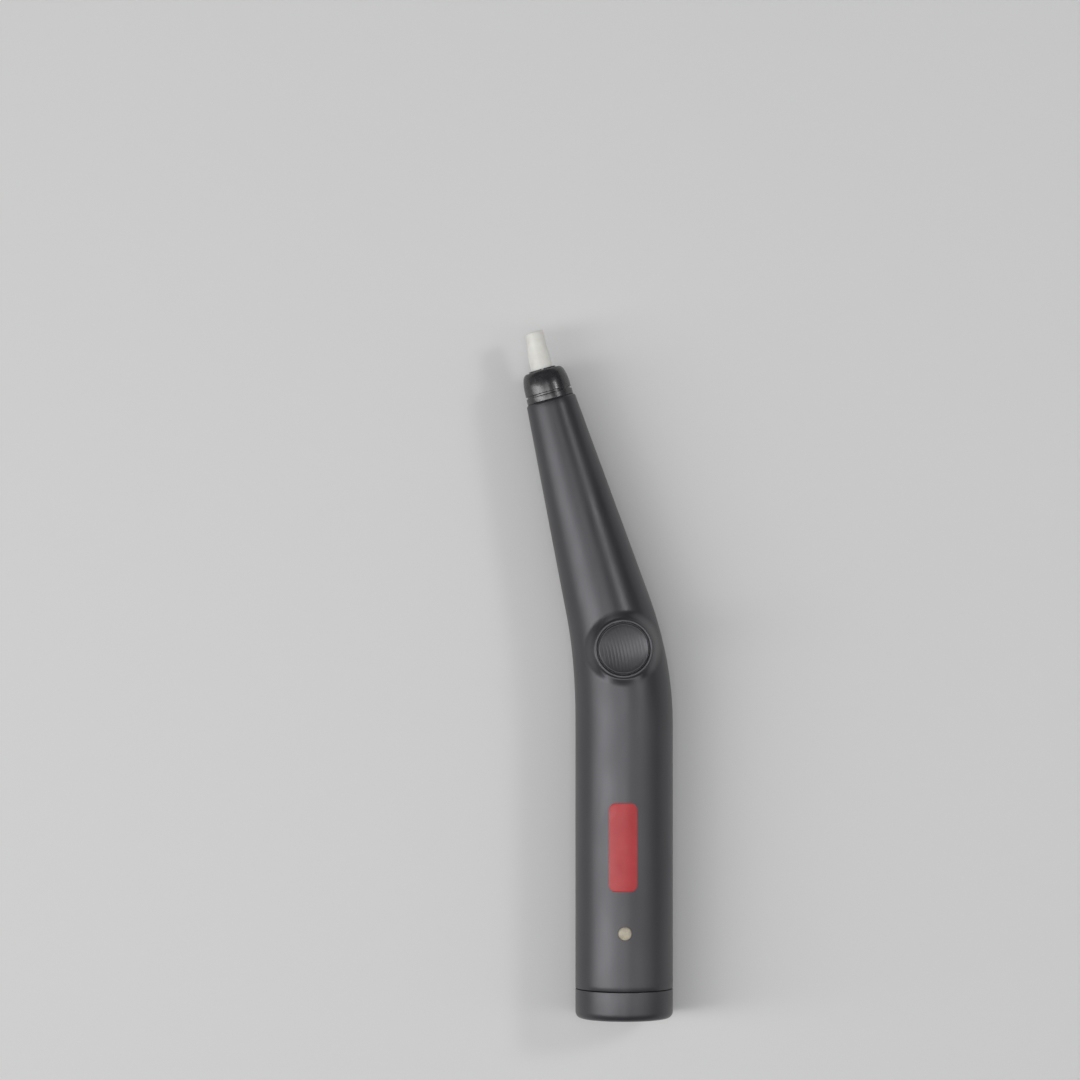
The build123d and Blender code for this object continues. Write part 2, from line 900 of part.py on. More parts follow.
def light_pipe():
    """The clear pin that carries the light through the front of the casing."""
    pin = rod(pipe_radius, pipe_bottom, handle_radius + pipe_dome)
    pin = fillet(pin.edges().sort_by(Axis.Z)[-1], pipe_dome)
    pin += rod(pipe_flange_radius - touch_gap, pipe_bottom, cavity_radius - pipe_flange - touch_gap)
    return Pos(0, led_from_end, 0) * pin


def usb_outline(inset):
    """The charging socket's rounded outline."""
    return RectangleRounded(
        usb_width - 2 * inset, usb_height - 2 * inset, usb_corner - inset / 2
    )


def usb_shell():
    """The charging socket's folded steel shell, closed at the back."""
    shell = extrude(usb_outline(0), usb_depth)
    shell -= extrude(usb_outline(usb_wall), usb_depth - usb_back)
    return on_handle(Pos(0, usb_middle, usb_recess) * shell)


def usb_tongue():
    """The insulating tongue inside the charging socket."""
    back = usb_depth - usb_back
    return on_handle(
        Pos(0, usb_middle, usb_recess)
        * block(
            (-usb_tongue_width / 2, 0, back - usb_tongue_length),
            (usb_tongue_width / 2, usb_tongue_thickness, back),
        )
    )


def usb_contacts():
    """The row of contact strips under the tongue."""
    strips = Part()
    back = usb_depth - usb_back
    for number in range(usb_contact_count):
        middle = (number - (usb_contact_count - 1) / 2) * usb_contact_pitch
        strips += block(
            (middle - usb_contact_width / 2, -usb_contact_thickness, back - usb_tongue_length),
            (middle + usb_contact_width / 2, 0, back),
        )
    return on_handle(Pos(0, usb_middle, usb_recess) * strips)


def button_cap():
    """The round push button: ribbed top, skirt, retaining flange and centre stem."""
    low = flange_top - button_flange
    cap = rod(button_radius, low, button_top)
    cap = fillet(cap.edges().sort_by(Axis.Z)[-1], button_edge_round)
    cap -= rod(button_radius - button_skirt, low, button_top - button_top_wall)
    cap += tube(flange_radius, button_radius - button_skirt, low, flange_top)
    cap += rod(button_stem_radius, plunger_top + touch_gap, button_top - button_top_wall / 2)
    return at_button(cap - button_grooves())


def button_grooves():
    """The straight grooves between the button's grip ribs, running along the nose."""
    grooves = Part()
    reach = button_radius - button_rib_margin
    count = int(reach / button_rib_pitch)
    for number in range(-count, count + 1):
        x = number * button_rib_pitch
        half_length = math.sqrt(reach * reach - x * x)
        grooves += block(
            (x - button_rib_width / 2, -half_length, button_top - button_rib_depth),
            (x + button_rib_width / 2, half_length, button_top + button_rib_depth),
        )
    return Rot(0, 0, nose_tilt) * grooves


def switch_base():
    """The switch's square housing, open inside for the plunger and its dome."""
    half = switch_size / 2
    base = block((-half, -half, board_top), (half, half, switch_top))
    chamber = half - switch_wall
    base -= rod(chamber, board_top + switch_floor, switch_top - switch_floor)
    return at_button(base - rod(plunger_radius + touch_gap, board_top + switch_floor, switch_top))


def switch_plunger():
    """The switch's moving pin, held in by its foot."""
    pin = rod(plunger_radius, plunger_foot_top - plunger_foot, plunger_top)
    pin += rod(plunger_foot_radius, plunger_foot_top - plunger_foot, plunger_foot_top)
    return at_button(pin)


def switch_dome():
    """The springy metal dome under the plunger."""
    base = board_top + switch_floor
    outline = []
    for step in range(dome_steps + 1):
        share = step / dome_steps
        outline.append((dome_radius * share, base + dome_rise * (1 - share * share)))
    under = [(radius, height + dome_thickness) for radius, height in outline]
    return at_button(ring_of(outline + under[::-1]))


def case_screws():
    """The two identical screws that hold the casing halves together."""
    screws = Part()
    for x, y in screw_places:
        low = screw_seat_height - screw_head_height
        screw = rod(screw_radius, screw_seat_height, screw_seat_height + screw_length)
        screw += rod(screw_head_radius, low, screw_seat_height)
        for turn in (0, 90):
            half_width = screw_slot_width / 2
            slot = block(
                (-screw_slot_length / 2, -half_width, low),
                (screw_slot_length / 2, half_width, low + screw_slot_depth),
            )
            screw -= Rot(0, 0, turn) * slot
        screws += Pos(x, y, 0) * screw
    return screws


def red_badge():
    """The plain coloured film on the front of the handle."""
    outer = handle_radius + badge_thickness
    front = badge_from_end + badge_length / 2
    back = badge_from_end - badge_length / 2
    film = on_handle(tube(outer, handle_radius, back, front))
    outline = RectangleRounded(badge_width, badge_length, badge_corner)
    cutter = extrude(outline, outer)
    return film & (Pos(badge_offset, badge_from_end, 0) * cutter)


def motor_wire(side):
    """A wire from under the board to one motor terminal."""
    start_y = button_y - wire_from_button
    terminal_x = side * terminal_offset
    end = nose_point(terminal_x, 0, terminal_back - touch_gap)
    before = nose_point(terminal_x, 0, terminal_back - wire_lead)
    start = (-side * wire_offset, start_y, board_bottom)
    below = (-side * wire_offset, start_y, board_bottom - 2 * wire_bend)
    path = FilletPolyline(start, below, before, end, radius=wire_bend)
    section = Plane(origin=path @ 0, z_dir=path % 0) * Circle(wire_radius)
    return sweep(section, path=path)


def all_parts():
    """Every piece by name, in the drawing position."""
    return {
        "front_shell": front_shell(),
        "rear_shell": rear_shell(),
        "end_cap": end_cap(),
        "nose_ring": nose_ring(),
        "red_badge": red_badge(),
        "light_pipe": light_pipe(),
        "button_cap": button_cap(),
        "switch_base": switch_base(),
        "switch_dome": switch_dome(),
        "switch_plunger": switch_plunger(),
        "main_board": main_board(),
        "status_led": status_led(),
        "charge_chip": on_board(charge_chip_size, 0, charge_chip_from_end),
        "motor_transistor": on_board(transistor_size, 0, transistor_from_end),
        "small_parts": small_parts(),
        "usb_shell": usb_shell(),
        "usb_tongue": usb_tongue(),
        "usb_contacts": usb_contacts(),
        "battery_cell": battery_cell(),
        "battery_sleeve": battery_sleeve(),
        "battery_foam": battery_foam(),
        "positive_tab": battery_tab(battery_front),
        "negative_tab": battery_tab(battery_from_end - tab_thickness),
        "motor_can": motor_can(),
        "motor_magnets": motor_magnets(),
        "motor_armature": motor_armature(),
        "motor_windings": motor_windings(),
        "motor_commutator": motor_commutator(),
        "motor_brushes": motor_brushes(),
        "motor_terminals": motor_terminals(),
        "motor_end_bell": motor_end_bell(),
        "motor_shaft": motor_shaft(),
        "coupling_sleeve": coupling_sleeve(),
        "spindle": spindle(),
        "spindle_clip": spindle_clip(),
        "thrust_washer": thrust_washer(),
        "front_bush": front_bush(),
        "rear_bush": rear_bush(),
        "collet": collet(),
        "eraser_refill": eraser_refill(),
        "case_screws": case_screws(),
        "red_wire": motor_wire(1),
        "black_wire": motor_wire(-1),
    }


def origin_shift(parts):
    """The move that puts the origin at the centre of the underside of the whole eraser."""
    boxes = [piece.bounding_box() for piece in parts]
    low = [min(tuple(box.min)[axis] for box in boxes) for axis in range(3)]
    high = [max(tuple(box.max)[axis] for box in boxes) for axis in range(3)]
    return Pos(-(low[0] + high[0]) / 2, -(low[1] + high[1]) / 2, -low[2])


os.makedirs("parts", exist_ok=True)
pieces = all_parts()
shift = origin_shift(pieces.values())
for name, piece in pieces.items():
    export_step(shift * piece, f"parts/{name}.step")
print("origin moved by", shift.position)
print("seam centre", (shift * Pos(*seam_centre)).position, "nose axis", nose_direction)
print("charging socket mouth", (shift * Pos(0, usb_recess, usb_middle)).position)
print("button", (shift * Pos(button_offset, button_y, button_top)).position)
print("board top", board_top + shift.position.Z)
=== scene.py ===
"""The electric eraser's looks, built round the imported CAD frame. Metres; same frame as the CAD."""

import json
import math

import bmesh
import bpy
from mathutils import Matrix, Vector


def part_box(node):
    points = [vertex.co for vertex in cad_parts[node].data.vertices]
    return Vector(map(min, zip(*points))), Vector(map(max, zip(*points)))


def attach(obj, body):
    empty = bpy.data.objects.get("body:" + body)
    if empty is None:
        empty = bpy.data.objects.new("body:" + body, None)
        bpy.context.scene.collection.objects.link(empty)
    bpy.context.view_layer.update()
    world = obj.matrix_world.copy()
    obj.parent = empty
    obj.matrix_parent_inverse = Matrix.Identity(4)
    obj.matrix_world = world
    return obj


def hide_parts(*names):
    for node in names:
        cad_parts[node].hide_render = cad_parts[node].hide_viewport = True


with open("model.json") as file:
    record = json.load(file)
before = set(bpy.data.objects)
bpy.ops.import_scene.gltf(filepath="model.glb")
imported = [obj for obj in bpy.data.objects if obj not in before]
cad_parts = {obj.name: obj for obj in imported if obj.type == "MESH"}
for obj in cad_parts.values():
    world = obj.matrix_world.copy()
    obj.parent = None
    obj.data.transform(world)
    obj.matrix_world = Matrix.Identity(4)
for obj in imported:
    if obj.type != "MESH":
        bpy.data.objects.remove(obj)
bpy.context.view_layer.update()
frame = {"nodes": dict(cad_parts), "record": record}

MM = 0.001


def node_corners(node):
    """A CAD node's lowest and highest corners, as vectors."""
    low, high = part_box(node)
    return Vector(low), Vector(high)


# ---- the barrel's spine: a straight handle, a bend, and a cone up to the seam of the nose ring ----
CAP_LOW, CAP_HIGH = node_corners("end_cap")
RING_LOW, RING_HIGH = node_corners("nose_ring")
JOINTS = {joint["name"]: joint for joint in frame["record"]["behaviour"]["joints"]}
SEAM = Vector(JOINTS["spindle_spin"]["pos_m"])
NOSE = Vector(JOINTS["spindle_spin"]["axis"]).normalized()
HANDLE_RADIUS = (CAP_HIGH.x - CAP_LOW.x) / 2
HANDLE_X = (CAP_HIGH.x + CAP_LOW.x) / 2
HANDLE_Z = (CAP_HIGH.z + CAP_LOW.z) / 2
END_Y = CAP_LOW.y
TILT = math.atan2(-NOSE.x, NOSE.y)
RING_RADIUS = (RING_HIGH.z - RING_LOW.z) / 2
SEAM_FROM_CORNER = (HANDLE_X - SEAM.x) / math.sin(TILT)
CORNER_Y = SEAM.y - SEAM_FROM_CORNER * math.cos(TILT)
BEND_RADIUS = 100 * MM
BEND_TANGENT = BEND_RADIUS * math.tan(TILT / 2)
BEND_LENGTH = BEND_RADIUS * TILT
BEND_START = CORNER_Y - BEND_TANGENT
STRAIGHT_LENGTH = BEND_START - END_Y
CONE_LENGTH = SEAM_FROM_CORNER - BEND_TANGENT
SPINE_LENGTH = STRAIGHT_LENGTH + BEND_LENGTH + CONE_LENGTH
NOSE_BACK_RADIUS = 9.8 * MM
NOSE_FRONT_RADIUS = RING_RADIUS + 0.35 * MM
CONE_SLOPE = (NOSE_BACK_RADIUS - NOSE_FRONT_RADIUS) / CONE_LENGTH

# ---- the casing's wall, where it starts along the spine, and its rounded ends ----
CASING_START = node_corners("front_shell")[0].y - END_Y
WALL = 1.6 * MM
REAR_ROUND = 0.18 * MM
FRONT_ROUND = 0.5 * MM

# ---- the button and its seat ----
BUTTON_LOW, BUTTON_HIGH = node_corners("button_cap")
BUTTON_X = (BUTTON_LOW.x + BUTTON_HIGH.x) / 2
BUTTON_Y = (BUTTON_LOW.y + BUTTON_HIGH.y) / 2
BUTTON_TOP = BUTTON_HIGH.z
BUTTON_DISTANCE = BUTTON_Y - END_Y + 0.1 * MM
FLANGE_RADIUS = (BUTTON_HIGH.x - BUTTON_LOW.x) / 2
BUTTON_RADIUS = FLANGE_RADIUS - 0.85 * MM
BUTTON_HOLE = BUTTON_RADIUS + 0.25 * MM
RIM_RADIUS = BUTTON_HOLE + 0.8 * MM
RIM_HEIGHT = 0.3 * MM
SEAT_TOP = BUTTON_TOP - 0.8 * MM
SEAT_RISE = 0.045
SEAT_RADIUS = RIM_RADIUS - 0.2 * MM
SEAT_BLEND = 2.5 * MM

# ---- the indicator ----
PIPE_LOW, PIPE_HIGH = node_corners("light_pipe")
PIPE_X = (PIPE_LOW.x + PIPE_HIGH.x) / 2
PIPE_Y = (PIPE_LOW.y + PIPE_HIGH.y) / 2
PIPE_RADIUS = 1.5 * MM
PIPE_CLEARANCE = 0.05 * MM


# ---------------------------------------------------------------- mesh helpers


def new_object(name, verts, faces, material):
    """A smooth-shaded mesh object from plain lists."""
    mesh = bpy.data.meshes.new(name)
    mesh.from_pydata([tuple(v) for v in verts], [], faces)
    mesh.validate()
    mesh.shade_smooth()
    piece = bpy.data.objects.new(name, mesh)
    bpy.context.collection.objects.link(piece)
    mesh.materials.append(material)
    return piece


def soften_edges(piece, degrees=35):
    """Shade faces smooth, but keep edges sharper than the angle crisp."""
    mesh = piece.data
    build = bmesh.new()
    build.from_mesh(mesh)
    bmesh.ops.recalc_face_normals(build, faces=build.faces)
    limit = math.radians(degrees)
    for edge in build.edges:
        edge.smooth = len(edge.link_faces) == 2 and edge.calc_face_angle(0) < limit
    for face in build.faces:
        face.smooth = True
    build.to_mesh(mesh)
    build.free()


def cut_away(piece, cutter):
    """Subtract the cutter from the piece's mesh, then delete the cutter."""
    modifier = piece.modifiers.new("cut", "BOOLEAN")
    modifier.operation = "DIFFERENCE"
    modifier.solver = "EXACT"
    modifier.object = cutter
    graph = bpy.context.evaluated_depsgraph_get()
    mesh = bpy.data.meshes.new_from_object(piece.evaluated_get(graph))
    piece.modifiers.clear()
    piece.data = mesh
    bpy.data.objects.remove(cutter, do_unlink=True)


def circle(radius, segments):
    """Points (x, y) evenly round a circle."""
    angles = [2 * math.pi * turn / segments for turn in range(segments)]
    return [(radius * math.cos(angle), radius * math.sin(angle)) for angle in angles]


def ring_faces(rings, count, first=0):
    """Quads that join closed rings of points, each of the same count, numbered from the first."""
    faces = []
    for ring in range(rings - 1):
        base, above = first + ring * count, first + (ring + 1) * count
        for step in range(count):
            after = (step + 1) % count
            faces.append((base + step, base + after, above + after, above + step))
    return faces


def rounded_profile(corners, steps=5):
    """Points along (radius, height, rounding) corners, each corner turned into a curve."""
    points = []
    for index, (radius, height, rounding) in enumerate(corners):
        here = Vector((radius, height))
        if rounding == 0 or index in (0, len(corners) - 1):
            points.append(here)
            continue
        before = Vector(corners[index - 1][:2])
        after = Vector(corners[index + 1][:2])
        to_before = (before - here).normalized()
        to_after = (after - here).normalized()
        for step in range(steps + 1):
            share = step / steps
            first = here + to_before * rounding * (1 - share)
            second = here + to_after * rounding * share
            points.append(first.lerp(second, share))
    return points


def rounded_rectangle(half_width, half_height, corner, steps, longest):
    """Points round a rounded rectangle, its straight sides split into short pieces."""
    corners = []
    for quarter in range(4):
        middle_x = (half_width - corner) * (1 if quarter in (0, 3) else -1)
        middle_y = (half_height - corner) * (1 if quarter in (0, 1) else -1)
        for step in range(steps):
            angle = math.pi / 2 * (quarter + step / (steps - 1))
            corners.append(Vector((middle_x + corner * math.cos(angle), middle_y + corner * math.sin(angle))))
    points = []
    for index, spot in enumerate(corners):
        after = corners[(index + 1) % len(corners)]
        pieces = max(1, math.ceil((after - spot).length / longest))
        points += [spot.lerp(after, piece / pieces) for piece in range(pieces)]
    return points


def lathe(name, profile, place, material, segments=128):
    """A solid of revolution from (radius, height) points, placed by a matrix."""
    verts = []
    for radius, height in profile:
        verts += [place @ Vector((x, y, height)) for x, y in circle(radius, segments)]
    piece = new_object(name, verts, ring_faces(len(profile), segments), material)
    build = bmesh.new()
    build.from_mesh(piece.data)
    bmesh.ops.remove_doubles(build, verts=build.verts, dist=1e-7)
    bmesh.ops.dissolve_degenerate(build, edges=build.edges, dist=1e-8)
    bmesh.ops.recalc_face_normals(build, faces=build.faces)
    build.to_mesh(piece.data)
    build.free()
    soften_edges(piece)
    return piece


def axis_matrix(origin, direction):
    """A frame whose local Z runs along a direction in the XY plane, with local Y upward."""
    along = direction.normalized()
    up = Vector((0, 0, 1))
    across = up.cross(along)
    turn = Matrix((across, up, along)).transposed()
    return Matrix.Translation(origin) @ turn.to_4x4()


ON_NOSE = axis_matrix(SEAM, NOSE)
ON_HANDLE = axis_matrix(Vector((HANDLE_X, END_Y, HANDLE_Z)), Vector((0, 1, 0)))


def smooth_share(value):
    """0 below 0, 1 above 1, and a soft S between."""
    value = min(1.0, max(0.0, value))
    return value * value * value * (value * (6 * value - 15) + 10)


# ---------------------------------------------------------------- materials


class Shader:
    """A small helper that builds one node material."""

    def __init__(self, name, base, roughness, metallic=0.0, specular=0.5):
        self.material = bpy.data.materials.new(name)
        self.material.use_nodes = True
        self.nodes = self.material.node_tree.nodes
        self.links = self.material.node_tree.links
        self.shader = self.nodes["Principled BSDF"]
        self.set("Base Color", (*base, 1))
        self.set("Roughness", roughness)
        self.set("Metallic", metallic)
        self.set("Specular IOR Level", specular)
        self.coords = self.nodes.new("ShaderNodeTexCoord").outputs["Object"]
        self.normal = None

    def set(self, socket, value):
        """Set one of the shader's own sockets to a constant."""
        self.shader.inputs[socket].default_value = value

    def noise(self, scale, detail=3.0, rough=0.5, stretch=(1, 1, 1)):
        """Noise in the object's own metres; a stretch above 1 packs it closer along that axis."""
        mapping = self.nodes.new("ShaderNodeMapping")
        mapping.inputs["Scale"].default_value = stretch
        self.links.new(self.coords, mapping.inputs["Vector"])
        texture = self.nodes.new("ShaderNodeTexNoise")
        texture.inputs["Scale"].default_value = scale
        texture.inputs["Detail"].default_value = detail
        texture.inputs["Roughness"].default_value = rough
        self.links.new(mapping.outputs["Vector"], texture.inputs["Vector"])
        return texture.outputs["Fac"]

    def ramp(self, source, low, high):
        """Spread the middle of a noise, 0.3 to 0.7, over a range."""
        node = self.nodes.new("ShaderNodeMapRange")
        node.inputs["From Min"].default_value = 0.3
        node.inputs["From Max"].default_value = 0.7
        node.inputs["To Min"].default_value = low
        node.inputs["To Max"].default_value = high
        self.links.new(source, node.inputs["Value"])
        return node.outputs["Result"]

    def vary_colour(self, source, first, second):
        """Let the base colour drift between two colours."""
        node = self.nodes.new("ShaderNodeMix")
        node.data_type = "RGBA"
        node.inputs["A"].default_value = (*first, 1)
        node.inputs["B"].default_value = (*second, 1)
        self.links.new(self.ramp(source, 0, 1), node.inputs["Factor"])
        self.links.new(node.outputs["Result"], self.shader.inputs["Base Color"])

    def vary_roughness(self, source, low, high):
        """Let the roughness drift between two values."""
        self.links.new(self.ramp(source, low, high), self.shader.inputs["Roughness"])

    def bump(self, source, depth, strength=1.0):
        """Add a bump on top of the ones before it."""
        node = self.nodes.new("ShaderNodeBump")
        node.inputs["Strength"].default_value = strength
        node.inputs["Distance"].default_value = depth
        self.links.new(source, node.inputs["Height"])
        if self.normal is not None:
            self.links.new(self.normal, node.inputs["Normal"])
        self.normal = node.outputs["Normal"]
        self.links.new(self.normal, self.shader.inputs["Normal"])

    def scatter(self, weight, radius, scale):
        """Let light travel a little way under the surface."""
        self.set("Subsurface Weight", weight)
        self.set("Subsurface Radius", radius)
        self.set("Subsurface Scale", scale)


def scaled(colour, factor, lift=0.0):
    """A colour made lighter or darker."""
    return tuple(min(1, value * factor + lift) for value in colour)


def moulded_plastic(name, base, roughness, specular=0.5):
    """Moulded plastic: fine tool texture, soft handling marks and faint flow in its colour."""
    look = Shader(name, base, roughness, specular=specular)
    look.set("Specular Tint", (0.97, 0.95, 1.0, 1))
    look.vary_colour(look.noise(90, 4, 0.55, (1, 0.35, 1)), scaled(base, 0.84), scaled(base, 1.22, 0.0015))
    look.vary_roughness(look.noise(140, 5, 0.6, (1, 0.5, 1)), roughness - 0.025, roughness + 0.05)
    look.bump(look.noise(5200, 2, 0.6), 0.004 * MM)
    look.bump(look.noise(260, 2, 0.5), 0.012 * MM, 0.35)
    return look.material


def glossy_ring_plastic():
    """The nose ring's glossier plastic, a little uneven where it was moulded and gripped."""
    look = Shader("ring_plastic", (0.022, 0.0213, 0.024), 0.25, specular=0.8)
    look.vary_colour(look.noise(420, 3, 0.5), (0.017, 0.0165, 0.019), (0.027, 0.026, 0.029))
    look.vary_roughness(look.noise(600, 4, 0.6), 0.22, 0.33)
    look.bump(look.noise(380, 2, 0.5), 0.010 * MM, 0.5)
    look.bump(look.noise(3000, 2, 0.5), 0.002 * MM)
    return look.material


def eraser_vinyl():
    """Soft white vinyl: chalky, faintly mottled, with a cast skin and fine pores."""
    look = Shader("eraser_vinyl", (0.86, 0.85, 0.80), 0.62)
    look.vary_colour(look.noise(350, 5, 0.6), (0.76, 0.75, 0.70), (0.86, 0.855, 0.81))
    look.vary_roughness(look.noise(900, 3, 0.5), 0.5, 0.75)
    look.scatter(0.25, (1.0, 0.85, 0.7), 0.6 * MM)
    look.bump(look.noise(2600, 4, 0.7), 0.02 * MM, 0.7)
    look.bump(look.noise(300, 2, 0.5), 0.05 * MM, 0.4)
    return look.material


def badge_film():
    """Glossy red film with a slight orange peel."""
    look = Shader("badge_film", (0.45, 0.025, 0.031), 0.32, specular=0.35)
    look.vary_colour(look.noise(160, 3, 0.5), (0.42, 0.020, 0.026), (0.48, 0.030, 0.036))
    look.vary_roughness(look.noise(700, 3, 0.5), 0.29, 0.37)
    look.bump(look.noise(900, 1, 0.5), 0.003 * MM, 0.5)
    return look.material


def milky_lens(name, base):
    """Cream, slightly cloudy light-guide plastic."""
    look = Shader(name, base, 0.28)
    look.vary_colour(look.noise(900, 3, 0.5), scaled(base, 0.8), scaled(base, 1.12))
    look.vary_roughness(look.noise(1500, 2, 0.5), 0.2, 0.4)
    look.scatter(0.5, (1.0, 0.8, 0.5), 0.8 * MM)
    look.bump(look.noise(1200, 2, 0.5), 0.01 * MM, 0.4)
    return look.material


def drawn_metal(name, base, roughness, stretch=(1, 12, 1)):
    """Bright metal with fine drawing lines."""
    look = Shader(name, base, roughness, metallic=1.0)
    lines = look.noise(1500, 3, 0.6, stretch)
    look.vary_colour(lines, scaled(base, 0.8), base)
    look.vary_roughness(look.noise(700, 3, 0.5), roughness * 0.8, roughness * 1.4)
    look.bump(lines, 0.003 * MM, 0.6)
    return look.material


def soft_material(name, base, roughness, pores=0.03 * MM, scale=1800):
    """Rubber, foam, wire cover, ferrite or chip body: matte, with pores and a mottled tone."""
    look = Shader(name, base, roughness)
    look.vary_colour(look.noise(500, 4, 0.6), scaled(base, 0.8), scaled(base, 1.2, 0.003))
    look.vary_roughness(look.noise(900, 3, 0.5), roughness - 0.08, min(1, roughness + 0.1))
    look.bump(look.noise(scale, 3, 0.6), pores, 0.7)
    return look.material


def circuit_board_material():
    """Green solder mask with faint copper paths under it."""
    look = Shader("circuit_board", (0.02, 0.14, 0.05), 0.35)
    paths = look.nodes.new("ShaderNodeTexBrick")
    paths.inputs["Color1"].default_value = (0.018, 0.13, 0.045, 1)
    paths.inputs["Color2"].default_value = (0.025, 0.17, 0.06, 1)
    paths.inputs["Mortar"].default_value = (0.04, 0.24, 0.09, 1)
    paths.inputs["Scale"].default_value = 420
    paths.inputs["Mortar Size"].default_value = 0.03
    look.links.new(look.coords, paths.inputs["Vector"])
    look.links.new(paths.outputs["Color"], look.shader.inputs["Base Color"])
    look.vary_roughness(look.noise(800, 3, 0.5), 0.28, 0.45)
    look.bump(paths.outputs["Fac"], 0.02 * MM, 0.5)
    return look.material


def make_materials():
    """Every material slot of the record, by name."""
    return {
        "casing_plastic": moulded_plastic("casing_plastic", (0.025, 0.0243, 0.028), 0.36, 0.76),
        "ring_plastic": glossy_ring_plastic(),
        "button_plastic": moulded_plastic("button_plastic", (0.022, 0.0215, 0.024), 0.33, 0.7),
        "badge_film": badge_film(),
        "clear_plastic": milky_lens("clear_plastic", (0.47, 0.42, 0.315)),
        "switch_plastic": moulded_plastic("switch_plastic", (0.02, 0.02, 0.02), 0.5),
        "spring_steel": drawn_metal("spring_steel", (0.62, 0.62, 0.63), 0.3),
        "circuit_board": circuit_board_material(),
        "led_lens": milky_lens("led_lens", (0.85, 0.80, 0.55)),
        "chip_ceramic": soft_material("chip_ceramic", (0.42, 0.32, 0.2), 0.6),
        "bright_steel": drawn_metal("bright_steel", (0.68, 0.68, 0.69), 0.28),
        "gold_contact": drawn_metal("gold_contact", (0.85, 0.60, 0.22), 0.25),
        "cell_steel": drawn_metal("cell_steel", (0.62, 0.62, 0.63), 0.32),
        "cell_sleeve": moulded_plastic("cell_sleeve", (0.03, 0.10, 0.32), 0.3),
        "foam": soft_material("foam", (0.03, 0.03, 0.033), 0.9, 0.12 * MM, 1100),
        "nickel": drawn_metal("nickel", (0.72, 0.70, 0.66), 0.22),
        "ferrite": soft_material("ferrite", (0.03, 0.03, 0.032), 0.7),
        "core_iron": drawn_metal("core_iron", (0.26, 0.26, 0.28), 0.4, (1, 1, 14)),
        "copper": drawn_metal("copper", (0.80, 0.36, 0.18), 0.3),
        "coupling_rubber": soft_material("coupling_rubber", (0.025, 0.025, 0.025), 0.75),
        "spindle_metal": drawn_metal("spindle_metal", (0.74, 0.74, 0.76), 0.28),
        "bush_bronze": drawn_metal("bush_bronze", (0.50, 0.32, 0.14), 0.42),
        "collet_plastic": moulded_plastic("collet_plastic", (0.016, 0.016, 0.017), 0.38),
        "eraser_vinyl": eraser_vinyl(),
        "red_insulation": soft_material("red_insulation", (0.45, 0.02, 0.02), 0.5),
        "black_insulation": soft_material("black_insulation", (0.015, 0.015, 0.015), 0.5),
    }


MATERIALS = make_materials()


def dress_cad_nodes():
    """Give every CAD node the material of its own slot."""
    for part in frame["record"]["subparts"]:
        node = frame["nodes"][part["node"]]
        node.data.materials.clear()
        node.data.materials.append(MATERIALS[part["material_slot"]])


# ---------------------------------------------------------------- casing


def spine(distance):
    """Point, direction and radius of the barrel at a distance along its spine from the end."""
    if distance <= STRAIGHT_LENGTH:
        return Vector((HANDLE_X, END_Y + distance, HANDLE_Z)), 0.0, HANDLE_RADIUS
    if distance <= STRAIGHT_LENGTH + BEND_LENGTH:
        share = (distance - STRAIGHT_LENGTH) / BEND_LENGTH
        turn = share * TILT
        x = HANDLE_X - BEND_RADIUS * (1 - math.cos(turn))
        y = BEND_START + BEND_RADIUS * math.sin(turn)
        ease = share * share * (3 - 2 * share)
        lean = share * share * (share - 1)
        radius = HANDLE_RADIUS + (NOSE_BACK_RADIUS - HANDLE_RADIUS) * ease
        return Vector((x, y, HANDLE_Z)), turn, radius - CONE_SLOPE * BEND_LENGTH * lean
    back = SPINE_LENGTH - distance
    return SEAM - NOSE * back, TILT, NOSE_FRONT_RADIUS + CONE_SLOPE * back


def seat_height(x, y, height):
    """Height of the casing near the button: a round seat with a raised rim, dished into the barrel."""
    reach = math.hypot(x - BUTTON_X, y - BUTTON_Y)
    if reach > SEAT_RADIUS + SEAT_BLEND:
        return height
    out = min(1.0, max(0.0, (reach - SEAT_RADIUS) / SEAT_BLEND))
    blend = 1 - (1 - out) ** 3 * (1 + 3 * out)
    inner_slope, outer_slope = 0.2 * MM, 0.6 * MM
    rim_in = smooth_share((reach - BUTTON_HOLE) / inner_slope + 0.25)
    rim_out = 1 - smooth_share((reach - RIM_RADIUS) / outer_slope + 0.5)
    seat = SEAT_TOP + RIM_HEIGHT * rim_in * rim_out + SEAT_RISE * max(0.0, BUTTON_Y - y)
    return seat * (1 - blend) + height * blend


def casing_rows():
    """Distances along the spine, close together near the button and at the rounded ends."""
    fine, coarse, spare = 0.16 * MM, 1.2 * MM, 0.6 * MM
    end_rows = 5
    near = SEAT_RADIUS + SEAT_BLEND + spare
    rows = {CASING_START, SPINE_LENGTH}
    for number in range(int(2 * near / fine) + 1):
        rows.add(BUTTON_DISTANCE - near + number * fine)
    distance = CASING_START
    while distance < SPINE_LENGTH:
        if abs(distance - BUTTON_DISTANCE) > near:
            rows.add(distance)
        distance += coarse
    for step in range(1, end_rows + 1):
        share = (step / (end_rows + 1)) ** 2
        rows.add(CASING_START + REAR_ROUND * share)
        rows.add(SPINE_LENGTH - FRONT_ROUND * share)
    return sorted(rows)


def edge_inset(distance):
    """How far the casing's surface pulls in at its rounded ends."""
    for reach, rounding in ((distance - CASING_START, REAR_ROUND), (SPINE_LENGTH - distance, FRONT_ROUND)):
        if reach < rounding:
            return rounding - math.sqrt(max(0, rounding**2 - (rounding - reach) ** 2))
    return 0.0


